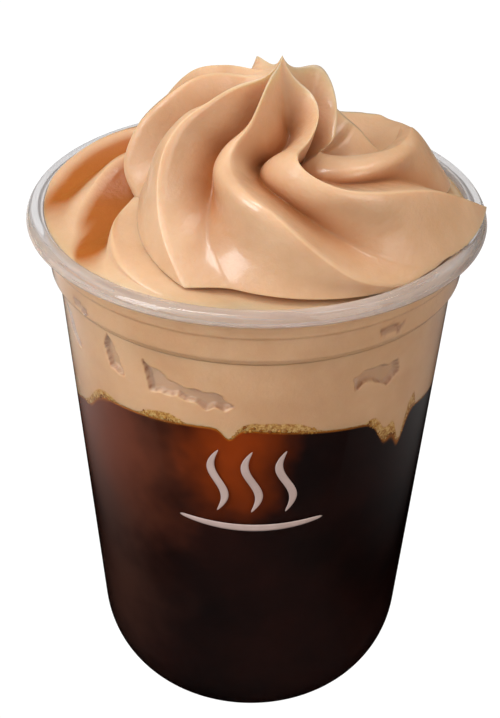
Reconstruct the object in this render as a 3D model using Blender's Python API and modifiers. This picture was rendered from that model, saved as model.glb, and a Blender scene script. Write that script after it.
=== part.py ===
# Freddo cappuccino: a clear plastic cup of dark iced coffee under a layer of coffee foam,
# with a tall swirl of the same foam piped on top. Metres, +Z up, origin at the middle of the
# cup's foot, and the camera's side of the cup towards -Y.

import math

import bmesh
import bpy

MM = 0.001
GAP = 0.3 * MM

# Cup: a thin moulded beaker with a rolled lip, a stacking step under it and a rounded base
CUP_HEIGHT = 112.0 * MM
LIP_OUTER_RADIUS = 47.5 * MM
LIP_INNER_RADIUS = 43.65 * MM
LIP_HEIGHT = 2.9 * MM
LIP_LEAN = 0.8 * MM
NECK_RADIUS = 44.0 * MM
NECK_CREASE_DEPTH = 7.0 * MM
STEP_TOP_DEPTH = 12.7 * MM
STEP_TOP_RADIUS = 42.45 * MM
STEP_FOOT_DEPTH = 14.4 * MM
STEP_FOOT_RADIUS = 40.85 * MM
BOWL_TOP_HEIGHT = 18.2 * MM
BOWL_TOP_RADIUS = 31.5 * MM
BOWL_ARC_RADIUS = 23.05 * MM
BOWL_ARC_CENTRE = (8.6 * MM, 20.9 * MM)
BOWL_ARC_START = 6.7
BOWL_ARC_END = 62.0
FOOT_OUTER_RADIUS = 17.6 * MM
FOOT_INNER_RADIUS = 13.5 * MM
RECESS_RADIUS = 12.0 * MM
RECESS_HEIGHT = 1.6 * MM
WALL = 0.75 * MM
CUP_SIDES = 48

# Contents: the foam meets the coffee at an uneven line round the wall, and the foam stops
# just under the lip, where the piping starts
FOAM_TOP_DEPTH = 3.0 * MM
BORDER_DEPTH = 31.2 * MM
CONTENT_SIDES = 72
DRIPS = [
    # azimuth in degrees, half width in degrees, how far the foam hangs down
    (-44.5, 4.5, 5.5 * MM),
    (-37.2, 3.2, 6.8 * MM),
    (-97.0, 2.6, 2.6 * MM),
    (-15.0, 38.0, 5.4 * MM),
    (-168.0, 17.0, 9.5 * MM),
    (-152.0, 5.0, 2.2 * MM),
    (62.0, 16.0, 4.5 * MM),
    (118.0, 22.0, 6.0 * MM),
]
AIR_POCKETS = [
    # azimuth, depth below the rim, half width in degrees, half height, depth of the dent
    (-106.0, 23.5 * MM, 11.0, 3.2 * MM, 1.3 * MM),
    (-133.0, 19.0 * MM, 6.0, 5.0 * MM, 1.1 * MM),
    (-52.0, 23.0 * MM, 7.5, 2.6 * MM, 1.2 * MM),
    (20.0, 20.0 * MM, 9.0, 4.0 * MM, 1.2 * MM),
    (95.0, 24.0 * MM, 11.0, 3.5 * MM, 1.2 * MM),
    (150.0, 18.0 * MM, 8.0, 4.5 * MM, 1.1 * MM),
]

# Piping. A ridge runs out from the peak through six stations, each an azimuth in degrees,
# a radius and a height above the lip, both in millimetres. The flute after each ridge has how
# far down it starts, its depth in millimetres, where its crease lies across it near the peak
# and lower down (0 for a round one), how steeply it rises on, where it ends and the share of
# its depth it loses there.
TOP_AXIS = (4.5, -2.0)
TOP_PEAK = 29.3
TOP_RIDGES = [
    ((-203.7, 7.8, 28.6), (-189.4, 14.7, 29.4), (-179.4, 20.7, 27.4),
     (-179.1, 28.4, 19.6), (-175.8, 31.7, 11.2), (-172, 30.2, 5.6)),
    ((-148.1, 9.3, 30.6), (-147.5, 17.7, 28.4), (-146.9, 24.6, 24.7),
     (-142.9, 29.6, 19.3), (-135.7, 33.3, 10.9), (-118, 39, 0.2)),
    ((-114.2, 5.6, 31.8), (-114.2, 14.5, 26.4), (-118.7, 20.5, 20.5),
     (-92.7, 32.7, 16.1), (-66.5, 39.1, 3.5), (-48, 39, -1)),
    ((-20.3, 6, 27.5), (-64.7, 14.2, 23), (-81, 21.3, 22.2),
     (-65.5, 27.8, 18.1), (-26.6, 34.1, 12.9), (0.1, 42.6, 1.7)),
    ((33.5, 9.6, 29.9), (-16.3, 11.5, 19.2), (-39.2, 10.7, 16.7),
     (-10.5, 22, 16.3), (25.5, 30.3, 13.2), (28.3, 37.4, 1.5)),
    ((50, 9.5, 25), (33, 15.5, 17.8), (20, 17, 16.3),
     (12, 22, 11.5), (33, 30, 12.6), (45, 36.9, 1.3)),
    ((75.8, 8.5, 28), (66.6, 13.5, 21.9), (56.8, 19.7, 15.4),
     (47.6, 25.8, 13.5), (43.8, 30.2, 11.5), (62, 36.5, 1)),
    ((121, 9.0, 30.8), (104.5, 16.2, 26.4), (100.3, 22.1, 22.2),
     (100.5, 27.6, 17.1), (104, 32.3, 10), (110, 35.5, 3)),
    ((140, 9.5, 29.1), (137.5, 16.1, 27.5), (141.2, 23, 24.7),
     (143.1, 28.7, 18.5), (147, 32.3, 10.8), (152, 31.5, 7)),
]
TOP_FLUTES = [
    (0.24, 8.0, 0.72, 0.20, 1.7, 1.0, 0.75),
    (0.18, 12.0, 0.72, 0.20, 1.7, 1.0, 0.75),
    (0.18, 11.0, 0.72, 0.20, 1.7, 1.0, 0.92),
    (0.18, 10.0, 0.72, 0.20, 1.7, 1.0, 0.25),
    (0.24, 8.0, 0.22, 0.22, 1.0, 0.86, 1.0),
    (0.24, 12.0, 0.40, 0.40, 1.3, 0.85, 1.0),
    (0.24, 8.0, 0.72, 0.20, 1.7, 1.0, 0.75),
    (0.55, 6.0, 0.72, 0.20, 1.7, 1.0, 0.75),
    (0.55, 6.0, 0.72, 0.20, 1.7, 1.0, 0.75),
]
LOWER_AXIS = (0.0, 0.0)
LOWER_PEAK = 12.0
LOWER_RIDGES = [
    ((139.5, 12.6, 12), (145.2, 22.7, 11.8), (151.9, 30.4, 10),
     (158, 37.1, 6.9), (167, 42.3, 2.9), (173, 43.6, 0.1)),
    ((159.3, 12.6, 11.3), (166, 22.8, 9.3), (175.5, 29.8, 8.1),
     (188, 35.6, 3.2), (203, 40, 1.0), (214, 43.2, -0.6)),
    ((184.3, 12.6, 9.6), (191.3, 22.7, 6.2), (202.7, 28.9, 4.8),
     (212, 34.0, 4.4), (220.5, 39, 2.0), (229, 43.2, -0.4)),
    ((221.2, 12.6, 6), (231, 22.1, 2.8), (242, 28.8, 1),
     (252.4, 34.1, -0.4), (264.7, 38.9, -1.7), (278, 42.9, -2.2)),
    ((274.2, 12.6, 4.2), (283.3, 22.1, 1.4), (294.1, 28.8, 0.2),
     (304, 34.1, -0.8), (314.1, 38.9, -1.6), (324, 42.9, -2.2)),
    ((329.3, 12.6, 4.2), (337.6, 22.1, 1.7), (348.1, 28.8, 1),
     (357.5, 34.1, 0.2), (365.8, 38.9, -0.6), (374, 42.9, -1.6)),
    ((381.4, 12.6, 6.8), (388.2, 22, 4.5), (397.4, 29.2, 3.2),
     (406.7, 35.2, 1.9), (416, 39.8, 0.3), (425, 42.9, -1.3)),
    ((439.4, 12.6, 9.4), (446.3, 22.7, 8.4), (454.9, 30.3, 6.6),
     (463.6, 36.3, 3.9), (473, 40.7, 1.1), (482, 43, -0.8)),
]
LOWER_FLUTES = [
    (0.2, 5.0, 0.30, 0.30, 1.5, 1.0, 0.60),
    (0.15, 12.0, 0.30, 0.16, 0.5, 1.0, 0.86),
    (0.2, -5.5, 0.0, 0.0, 1.0, 1.0, 0.85),
    (0.2, 1.5, 0.30, 0.30, 1.7, 1.0, 0.75),
    (0.2, 1.5, 0.30, 0.30, 1.7, 1.0, 0.75),
    (0.2, 1.5, 0.30, 0.30, 1.7, 1.0, 0.75),
    (0.2, 4.0, 0.25, 0.25, 1.7, 1.0, 0.75),
    (0.2, 6.0, 0.25, 0.25, 1.7, 1.0, 0.75),
]
SIDE_SHARES = (0.0, 0.07, 0.16, 0.26, 0.40, 0.56, 0.73, 0.87, 0.96)
FLUTE_RUN_OUT = 0.3
UNDERSIDE_REACH = 0.35
TIP_RISE = 0.19
TIP_RADIUS = 2.4


def mix(a, b, t):
    return a + (b - a) * t


def smooth(t):
    """0 below 0, 1 above 1, and an eased step between."""
    t = min(max(t, 0.0), 1.0)
    return t * t * (3.0 - 2.0 * t)


# Materials


def material(name, colour, roughness, alpha=1.0):
    made = bpy.data.materials.new(name)
    made.use_nodes = True
    shader = made.node_tree.nodes["Principled BSDF"]
    shader.inputs["Base Color"].default_value = (*colour, 1.0)
    shader.inputs["Roughness"].default_value = roughness
    shader.inputs["Metallic"].default_value = 0.0
    shader.inputs["Alpha"].default_value = alpha
    made.diffuse_color = (*colour, alpha)
    return made


def new_object(name, mesh, finish, collection):
    made = bpy.data.objects.new(name, mesh)
    mesh.materials.append(finish)
    collection.objects.link(made)
    return made


# Turned pieces


def wall_profile(inset):
    """The cup's wall from under the lip down to the middle of the base, moved in by inset."""
    points = [
        (NECK_RADIUS - inset, CUP_HEIGHT - LIP_HEIGHT),
        (NECK_RADIUS - 0.5 * MM - inset, CUP_HEIGHT - NECK_CREASE_DEPTH),
        (NECK_RADIUS - 0.9 * MM - inset, CUP_HEIGHT - NECK_CREASE_DEPTH - 0.5 * MM),
        (STEP_TOP_RADIUS - inset, CUP_HEIGHT - STEP_TOP_DEPTH),
        (STEP_FOOT_RADIUS - inset, CUP_HEIGHT - STEP_FOOT_DEPTH),
        (BOWL_TOP_RADIUS - inset, BOWL_TOP_HEIGHT),
    ]
    arc_steps = 6
    for step in range(1, arc_steps + 1):
        angle = math.radians(mix(BOWL_ARC_START, BOWL_ARC_END, step / arc_steps))
        reach = BOWL_ARC_RADIUS - inset
        points.append((
            BOWL_ARC_CENTRE[0] + reach * math.cos(angle),
            BOWL_ARC_CENTRE[1] - reach * math.sin(angle),
        ))
    points += [
        (FOOT_OUTER_RADIUS, inset),
        (FOOT_INNER_RADIUS, inset),
        (RECESS_RADIUS, RECESS_HEIGHT + inset),
        (0.0, RECESS_HEIGHT + inset),
    ]
    return points


def lip_profile():
    """The rolled lip, from its inner foot over the top and down to its outer foot."""
    top = CUP_HEIGHT
    bead = 0.6 * MM
    return [
        (NECK_RADIUS - WALL, top - LIP_HEIGHT),
        (LIP_INNER_RADIUS, top - bead),
        (LIP_INNER_RADIUS + bead, top),
        (LIP_OUTER_RADIUS - LIP_LEAN - bead, top),
        (LIP_OUTER_RADIUS - LIP_LEAN, top - 0.3 * MM),
        (LIP_OUTER_RADIUS - 0.2 * MM, top - 1.3 * MM),
        (LIP_OUTER_RADIUS, top - LIP_HEIGHT + bead),
        (LIP_OUTER_RADIUS - bead, top - LIP_HEIGHT),
    ]


def make_cup(collection, finish):
    inside = wall_profile(WALL)
    inside.reverse()
    points = inside[:-1] + lip_profile() + wall_profile(0.0)
    mesh = bpy.data.meshes.new("cup")
    edges = [(n, n + 1) for n in range(len(points) - 1)]
    mesh.from_pydata([(radius, 0.0, height) for radius, height in points], edges, [])
    cup = new_object("cup", mesh, finish, collection)
    screw = cup.modifiers.new("turned", "SCREW")
    screw.steps = CUP_SIDES
    screw.render_steps = CUP_SIDES
    screw.use_merge_vertices = True
    screw.merge_threshold = 0.00001
    screw.use_smooth_shade = True
    return cup


def turned_mesh(name, points, sides, place):
    """A closed turned solid whose points may then be moved, each by its turn, radius and height."""
    form = bmesh.new()
    verts = [form.verts.new((radius, 0.0, height)) for radius, height in points]
    edges = [form.edges.new(pair) for pair in zip(verts, verts[1:])]
    bmesh.ops.spin(
        form, geom=verts + edges, cent=(0, 0, 0), axis=(0, 0, 1), dvec=(0, 0, 0),
        angle=math.tau, steps=sides, use_merge=True, use_normal_flip=False, use_duplicate=False,
    )
    bmesh.ops.remove_doubles(form, verts=form.verts, dist=0.01 * MM)
    bmesh.ops.recalc_face_normals(form, faces=form.faces)
    for vert in form.verts:
        vert.co = place(vert.co)
    mesh = bpy.data.meshes.new(name)
    form.to_mesh(mesh)
    form.free()
    mesh.shade_smooth()
    return mesh


# Contents of the cup


def turn_apart(first, second):
    """Degrees from the second azimuth to the first, between -180 and 180."""
    return (first - second + 180.0) % 360.0 - 180.0


def border_height(azimuth):
    """Height of the line on the wall where the foam meets the coffee."""
    depth = BORDER_DEPTH + 0.5 * MM * math.sin(math.radians(5.0 * azimuth + 40.0))
    for centre, half_width, drop in DRIPS:
        depth += drop * math.exp(-((turn_apart(azimuth, centre) / half_width) ** 2))
    return CUP_HEIGHT - depth


def inside_radius(height):
    """Radius of the contents at this height, just clear of the wall."""
    line = wall_profile(WALL + GAP)
    for (upper_radius, upper), (lower_radius, lower) in zip(line, line[1:]):
        if lower <= height <= upper:
            return mix(lower_radius, upper_radius, (height - lower) / max(upper - lower, 1e-9))
    return line[0][0]


LEVEL = CUP_HEIGHT - BORDER_DEPTH - 3.0 * MM
BORDER_RINGS = [0.0, 0.45, 0.8, 1.0]


def make_coffee(collection, finish):
    wall = [point for point in wall_profile(WALL + GAP) if point[1] < LEVEL]
    radius = inside_radius(LEVEL)
    top = [(radius * share, LEVEL) for share in BORDER_RINGS]

    def place(point):
        out = math.hypot(point.x, point.y)
        if out < 1e-6 or abs(point.z - LEVEL) > 1e-6:
            return point
        azimuth = math.degrees(math.atan2(point.y, point.x))
        height = mix(LEVEL, border_height(azimuth), smooth(out / radius))
        new_out = out * inside_radius(height) / radius if out > 0.99 * radius else out
        return point.__class__((point.x * new_out / out, point.y * new_out / out, height))

    mesh = turned_mesh("coffee", top + wall, CONTENT_SIDES, place)
    return new_object("coffee", mesh, finish, collection)


def pocket_dent(azimuth, depth):
    """How far the foam stands back from the wall in its air pockets."""
    dent = 0.0
    for centre, pocket_depth, half_width, half_height, deep in AIR_POCKETS:
        across = turn_apart(azimuth, centre) / half_width
        along = (depth - pocket_depth) / half_height
        dent += deep * smooth(1.5 - math.hypot(across, along))
    return dent


def make_foam_layer(collection, finish):
    foot = LEVEL + GAP
    radius = inside_radius(LEVEL)
    bottom = [(radius * share, foot) for share in reversed(BORDER_RINGS)]
    rows = 5
    side_foot = CUP_HEIGHT - STEP_FOOT_DEPTH
    side = [point for point in wall_profile(WALL + GAP) if point[1] >= side_foot - 1e-6]
    top = CUP_HEIGHT - FOAM_TOP_DEPTH
    side = [(side[0][0] - 0.1 * MM, top)] + side[1:]
    rising = [(radius, mix(side_foot, foot, row / rows)) for row in range(1, rows)]
    centre = [(0.0, top), (0.6 * side[0][0], top)]

    def place(point):
        out = math.hypot(point.x, point.y)
        if out < 1e-6 or point.z >= side_foot - 1e-6:
            return point
        azimuth = math.degrees(math.atan2(point.y, point.x))
        border = border_height(azimuth) + GAP
        if abs(point.z - foot) < 1e-6:
            height = mix(foot, border, smooth(out / radius))
        else:
            height = mix(border, side_foot, (point.z - foot) / (side_foot - foot))
        new_out = out
        if out > 0.99 * radius:
            new_out = inside_radius(height)
            if point.z > foot + 1e-6:
                new_out -= pocket_dent(azimuth, CUP_HEIGHT - height)
        return point.__class__((point.x * new_out / out, point.y * new_out / out, height))

    mesh = turned_mesh("foam_layer", centre + side + rising + bottom, CONTENT_SIDES, place)
    return new_object("foam_layer", mesh, finish, collection)


# Piped foam


def station_curve(stations, share):
    """A smooth line through the stations, at this share of its length."""
    last = len(stations) - 1
    span = min(int(share * last), last - 1)
    local = share * last - span
    before = stations[max(span - 1, 0)]
    start = stations[span]
    end = stations[span + 1]
    after = stations[min(span + 2, last)]
    found = []
    for p0, p1, p2, p3 in zip(before, start, end, after):
        found.append(0.5 * (
            2.0 * p1 + (p2 - p0) * local
            + (2.0 * p0 - 5.0 * p1 + 4.0 * p2 - p3) * local ** 2
            + (3.0 * p1 - p0 - 3.0 * p2 + p3) * local ** 3
        ))
    return found


def crest_row(ridges, peak, down):
    """Each ridge's crest at this share of the way from the peak to its foot, and the first once
    more a turn on: azimuth, radius and height."""
    row = []
    for stations in ridges + ridges[:1]:
        line = [(stations[0][0], 0.0, peak)] + list(stations)
        azimuth, radius, height = station_curve(line, down)
        row.append((azimuth, max(radius, 0.0), height))
    azimuth, radius, height = row.pop()
    row.append((azimuth + 360.0, radius, height))
    return row


def flute_shape(across, down, crease_high, crease_low, steepness):
    """Depth of the flute, 0 on its ridges and 1 at the deepest: a round hollow near the peak,
    and lower down a steep face that drops to a crease and a full one that rises from it."""
    hollow = math.sin(math.pi * across)
    if not crease_low:
        return hollow
    crease = mix(crease_high, crease_low, smooth(down / 0.6))
    if across < crease:
        folded = math.sin(0.5 * math.pi * across / crease)
    else:
        folded = (1.0 - (across - crease) / (1.0 - crease)) ** steepness
    return mix(hollow, folded, smooth((down - 0.1) / 0.35))


def flute_point(crests, peak, flutes, around, down):
    """A point of the piped surface and how deep it lies in a flute: around counts ridges, down
    is 0 at the peak and 1 at the foot."""
    which = math.floor(around)
    across = around - which
    azimuth, radius, height = (mix(a, b, across) for a, b in zip(crests[which], crests[which + 1]))
    start, depth, crease_high, crease_low, steepness, end, loss = flutes[which]
    depth *= 1.0 - loss * smooth(1.0 - (end - down) / FLUTE_RUN_OUT)
    depth *= smooth(down / start)
    depth *= flute_shape(across, down, crease_high, crease_low, steepness)
    core = height - 0.2 * peak
    length = math.hypot(radius, core)
    tip = TIP_RISE * peak * math.exp(-radius / TIP_RADIUS)
    radius -= depth * radius / length
    height -= depth * core / length
    return azimuth, radius, height + tip, depth


def keep_off_lip(x, y, height):
    """Draws a point in where it would touch the lip."""
    out = math.hypot(x, y)
    limit = LIP_INNER_RADIUS / MM - 0.45 if height < 0.5 else LIP_OUTER_RADIUS / MM - 0.1
    if out > limit:
        x *= limit / out
        y *= limit / out
    return x, y


def make_mound(name, axis, peak, ridges, flutes, rows_down, rows_under, underside):
    """A piped mound: a globe whose upper rows become the fluted face and the rest its underside."""
    sides = len(ridges) * len(SIDE_SHARES)
    rows = rows_down + rows_under
    crests = [crest_row(ridges, peak, min(row / rows_down, 1.0)) for row in range(rows + 1)]
    form = bmesh.new()
    bmesh.ops.create_uvsphere(form, u_segments=sides, v_segments=rows, radius=1.0)
    for vert in form.verts:
        row = round(math.degrees(math.acos(max(-1.0, min(1.0, vert.co.z)))) / 180.0 * rows)
        side = round(math.atan2(vert.co.y, vert.co.x) / math.tau * sides) % sides
        around = side // len(SIDE_SHARES) + SIDE_SHARES[side % len(SIDE_SHARES)]
        down = min(row / rows_down, 1.0)
        azimuth, radius, height, depth = flute_point(crests[row], peak, flutes, around, down)
        if row > rows_down:
            share = (row - rows_down) / rows_under
            radius *= 1.0 - share
            height = mix(height, underside, smooth(share / UNDERSIDE_REACH))
        x = axis[0] + radius * math.cos(math.radians(azimuth))
        y = axis[1] + radius * math.sin(math.radians(azimuth))
        x, y = keep_off_lip(x, y, height)
        vert.co = (x * MM, y * MM, CUP_HEIGHT + height * MM)
    bmesh.ops.recalc_face_normals(form, faces=form.faces)
    mesh = bpy.data.meshes.new(name)
    form.to_mesh(mesh)
    form.free()
    return mesh


def make_foam_swirl(collection, finish):
    top = make_mound("foam_swirl", TOP_AXIS, TOP_PEAK, TOP_RIDGES, TOP_FLUTES, 24, 4, -1.2)
    lower = make_mound(
        "lower_turn", LOWER_AXIS, LOWER_PEAK, LOWER_RIDGES, LOWER_FLUTES,
        14, 3, (GAP - FOAM_TOP_DEPTH) / MM,
    )
    swirl = new_object("foam_swirl", top, finish, collection)
    helper = bpy.data.objects.new("lower_turn", lower)
    bpy.context.scene.collection.objects.link(helper)
    union = swirl.modifiers.new("one piped mass", "BOOLEAN")
    union.operation = "UNION"
    union.solver = "EXACT"
    union.object = helper
    graph = bpy.context.evaluated_depsgraph_get()
    joined = bpy.data.meshes.new_from_object(swirl.evaluated_get(graph))
    joined.name = "foam_swirl"
    swirl.modifiers.clear()
    swirl.data = joined
    joined.shade_smooth()
    bpy.data.objects.remove(helper, do_unlink=True)
    return swirl


# The whole drink

for old in list(bpy.data.objects):
    bpy.data.objects.remove(old, do_unlink=True)
drink = bpy.data.collections.new("freddo_cappuccino")
bpy.context.scene.collection.children.link(drink)

clear_plastic = material("clear_plastic", (0.92, 0.93, 0.94), 0.08, alpha=0.25)
dark_coffee = material("dark_coffee", (0.035, 0.010, 0.006), 0.12)
foam = material("coffee_foam", (0.74, 0.46, 0.27), 0.45)

make_cup(drink, clear_plastic)
make_coffee(drink, dark_coffee)
make_foam_layer(drink, foam)
make_foam_swirl(drink, foam)
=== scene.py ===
# Freddo cappuccino in a clear plastic cup: iced coffee, a layer of coffee foam over it and a
# tall piped swirl of the same foam. Metres, +Z up, the camera's side towards -Y.

import math
import random

import bmesh
import bpy
from mathutils import Matrix, Vector


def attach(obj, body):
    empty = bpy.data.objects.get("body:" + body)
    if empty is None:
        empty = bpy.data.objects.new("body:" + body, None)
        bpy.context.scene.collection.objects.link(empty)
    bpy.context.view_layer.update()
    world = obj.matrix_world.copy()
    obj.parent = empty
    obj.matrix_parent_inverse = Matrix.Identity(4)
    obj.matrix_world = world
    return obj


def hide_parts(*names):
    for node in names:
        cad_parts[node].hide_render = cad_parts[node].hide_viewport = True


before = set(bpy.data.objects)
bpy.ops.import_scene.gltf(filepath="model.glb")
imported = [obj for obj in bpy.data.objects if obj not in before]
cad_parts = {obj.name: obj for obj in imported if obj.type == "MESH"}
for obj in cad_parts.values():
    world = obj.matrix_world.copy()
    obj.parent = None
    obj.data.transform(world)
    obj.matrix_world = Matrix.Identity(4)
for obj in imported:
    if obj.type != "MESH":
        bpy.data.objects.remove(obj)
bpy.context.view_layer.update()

MM = 0.001


# Shared helpers


def mix(a, b, t):
    return a + (b - a) * t


def smooth(t):
    """0 below 0, 1 above 1, and an eased step between."""
    t = min(max(t, 0.0), 1.0)
    return t * t * (3.0 - 2.0 * t)


def turn_apart(first, second):
    """Degrees from the second azimuth to the first, between -180 and 180."""
    return (first - second + 180.0) % 360.0 - 180.0


def softened(points, reach, steps=5):
    """A profile with each inner corner rounded over this reach."""
    out = [points[0]]
    for before, corner, after in zip(points, points[1:], points[2:]):
        before, corner, after = Vector(before), Vector(corner), Vector(after)
        back = before - corner
        on = after - corner
        start = corner + back.normalized() * min(reach, 0.45 * back.length)
        end = corner + on.normalized() * min(reach, 0.45 * on.length)
        for step in range(steps + 1):
            t = step / steps
            point = start * (1 - t) ** 2 + corner * 2 * t * (1 - t) + end * t ** 2
            out.append((point.x, point.y))
    out.append(points[-1])
    return out


def finer(points, length):
    """A profile with points added so that no piece of it is longer than this."""
    out = [points[0]]
    for a, b in zip(points, points[1:]):
        count = max(1, math.ceil(math.dist(a, b) / length))
        out += [(mix(a[0], b[0], n / count), mix(a[1], b[1], n / count)) for n in range(1, count + 1)]
    return out


def wrapped(columns, rows, place):
    """A grid whose columns run round the object and rows down it, closed where its edges meet;
    place gives each point, and how deep in a hollow it is, from its column and row. That depth is
    kept in the hollow layer, which sets how much painted shade the foam's colour takes there."""
    form = bmesh.new()
    bmesh.ops.create_grid(form, x_segments=columns, y_segments=rows, size=1.0)
    hollow = form.verts.layers.float.new("hollow")
    for vert in form.verts:
        column = round((vert.co.x + 1.0) / 2.0 * columns) % columns
        row = round((1.0 - vert.co.y) / 2.0 * rows)
        vert.co, vert[hollow] = place(column, row)
    bmesh.ops.remove_doubles(form, verts=form.verts, dist=0.001 * MM)
    bmesh.ops.recalc_face_normals(form, faces=form.faces)
    return form


def turned(name, points, sides, place=None):
    """A turned solid from a radius and height profile; place may move each point afterwards and
    say how deep in a hollow it is."""

    def on_turn(column, row):
        radius, height = points[row]
        angle = math.tau * column / sides
        point = Vector((radius * math.cos(angle), radius * math.sin(angle), height))
        return place(point) if place else (point, 0.0)

    return finished(name, wrapped(sides, len(points) - 1, on_turn))


def finished(name, form):
    mesh = bpy.data.meshes.new(name)
    form.to_mesh(mesh)
    form.free()
    mesh.shade_smooth()
    made = bpy.data.objects.new(name, mesh)
    bpy.context.scene.collection.objects.link(made)
    return made


def new_material(name):
    made = bpy.data.materials.new(name)
    made.use_nodes = True
    tree = made.node_tree
    return made, tree, tree.nodes["Principled BSDF"], tree.nodes["Material Output"]


def object_place(tree):
    """The point's place in object space."""
    return tree.nodes.new("ShaderNodeTexCoord").outputs["Object"]


def noise(tree, scale, detail=4.0, roughness=0.5, stretch=(1.0, 1.0, 1.0)):
    """A noise texture in object space."""
    mapping = tree.nodes.new("ShaderNodeMapping")
    mapping.inputs["Scale"].default_value = stretch
    texture = tree.nodes.new("ShaderNodeTexNoise")
    texture.inputs["Scale"].default_value = scale
    texture.inputs["Detail"].default_value = detail
    texture.inputs["Roughness"].default_value = roughness
    tree.links.new(object_place(tree), mapping.inputs["Vector"])
    tree.links.new(mapping.outputs["Vector"], texture.inputs["Vector"])
    return texture


def ramp(tree, source, stops):
    """A colour ramp on this output, from (position, colour) stops."""
    made = tree.nodes.new("ShaderNodeValToRGB")
    elements = made.color_ramp.elements
    while len(elements) < len(stops):
        elements.new(0.5)
    for element, (position, colour) in zip(elements, stops):
        element.position = position
        element.color = (*colour, 1.0)
    tree.links.new(source, made.inputs["Fac"])
    return made.outputs["Color"]


def blend(tree, first, second, share):
    """Mixes an output with a second colour, an output or a plain colour, by the share's output."""
    made = tree.nodes.new("ShaderNodeMix")
    made.data_type = "RGBA"
    share_socket, first_socket, second_socket = (made.inputs[n] for n in (0, 6, 7))
    tree.links.new(share, share_socket)
    tree.links.new(first, first_socket)
    if isinstance(second, tuple):
        second_socket.default_value = (*second, 1.0)
    else:
        tree.links.new(second, second_socket)
    return made.outputs[2]


def bump(tree, height, strength, distance, onto=None):
    made = tree.nodes.new("ShaderNodeBump")
    made.inputs["Strength"].default_value = strength
    made.inputs["Distance"].default_value = distance
    tree.links.new(height, made.inputs["Height"])
    if onto:
        tree.links.new(onto, made.inputs["Normal"])
    return made.outputs["Normal"]


def math_node(tree, operation, *values):
    """A sum on values that are each an output or a number."""
    made = tree.nodes.new("ShaderNodeMath")
    made.operation = operation
    for socket, value in zip(made.inputs, values):
        if isinstance(value, float):
            socket.default_value = value
        else:
            tree.links.new(value, socket)
    return made.outputs[0]


def map_range(tree, source, low, high, least=0.0, most=1.0, kind="LINEAR"):
    """The output, carried from one range to another and clamped to it."""
    made = tree.nodes.new("ShaderNodeMapRange")
    made.interpolation_type = kind
    made.inputs["From Min"].default_value = low
    made.inputs["From Max"].default_value = high
    made.inputs["To Min"].default_value = least
    made.inputs["To Max"].default_value = most
    tree.links.new(source, made.inputs["Value"])
    return made.outputs["Result"]


def object_parts(tree):
    """The three parts of the point's place in object space."""
    apart = tree.nodes.new("ShaderNodeSeparateXYZ")
    tree.links.new(object_place(tree), apart.inputs[0])
    return apart.outputs


def attribute(tree, name):
    """A value stored on the mesh."""
    made = tree.nodes.new("ShaderNodeAttribute")
    made.attribute_name = name
    return made.outputs["Fac"]


def mix_shaders(tree, share, first, second):
    """Mixes two shaders by the share's output."""
    made = tree.nodes.new("ShaderNodeMixShader")
    for socket, value in zip(made.inputs, (share, first, second)):
        tree.links.new(value, socket)
    return made.outputs[0]


def place_piece(piece, node, finish):
    piece.data.materials.append(finish)
    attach(piece, "root")
    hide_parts(node)


# Cup. A thin clear plastic beaker, injection or blow moulded in one piece, with a rolled lip,
# a stacking step under it and a rounded base on a small foot ring.

CUP_HEIGHT = 112.0 * MM
LIP_OUTER_RADIUS = 47.5 * MM
LIP_INNER_RADIUS = 43.65 * MM
LIP_HEIGHT = 2.9 * MM
LIP_LEAN = 0.8 * MM
NECK_RADIUS = 44.0 * MM
NECK_CREASE_DEPTH = 7.0 * MM
STEP_TOP_DEPTH = 12.7 * MM
STEP_TOP_RADIUS = 42.45 * MM
STEP_FOOT_DEPTH = 14.4 * MM
STEP_FOOT_RADIUS = 40.85 * MM
BOWL_TOP_HEIGHT = 18.2 * MM
BOWL_TOP_RADIUS = 31.5 * MM
BOWL_ARC_RADIUS = 23.05 * MM
BOWL_ARC_CENTRE = (8.6 * MM, 20.9 * MM)
FOOT_OUTER_RADIUS = 17.6 * MM
FOOT_INNER_RADIUS = 13.5 * MM
RECESS_RADIUS = 12.0 * MM
RECESS_HEIGHT = 1.6 * MM
WALL = 0.75 * MM
INTO_WALL = 0.3 * MM
CORNER_ROUNDING = 0.5 * MM
CORNER_STEPS = 4
CUP_SIDES = 192
MILKY_LIP = 0.36
# The contents reach this far into the lip, so that no gap shows at it.
INTO_LIP = 0.15 * MM


def wall_profile(inset):
    """The cup's wall from under the lip down to the middle of the base, moved in by inset."""
    points = [
        (NECK_RADIUS - inset, CUP_HEIGHT - LIP_HEIGHT),
        (NECK_RADIUS - 0.5 * MM - inset, CUP_HEIGHT - NECK_CREASE_DEPTH),
        (NECK_RADIUS - 0.9 * MM - inset, CUP_HEIGHT - NECK_CREASE_DEPTH - 0.5 * MM),
        (STEP_TOP_RADIUS - inset, CUP_HEIGHT - STEP_TOP_DEPTH),
        (STEP_FOOT_RADIUS - inset, CUP_HEIGHT - STEP_FOOT_DEPTH),
        (BOWL_TOP_RADIUS - inset, BOWL_TOP_HEIGHT),
    ]
    for step in range(1, 15):
        angle = math.radians(mix(6.7, 62.0, step / 14))
        points.append((
            BOWL_ARC_CENTRE[0] + (BOWL_ARC_RADIUS - inset) * math.cos(angle),
            BOWL_ARC_CENTRE[1] - (BOWL_ARC_RADIUS - inset) * math.sin(angle),
        ))
    points += [
        (FOOT_OUTER_RADIUS, inset),
        (FOOT_INNER_RADIUS, inset),
        (RECESS_RADIUS, RECESS_HEIGHT + inset),
        (0.0, RECESS_HEIGHT + inset),
    ]
    return points


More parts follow.
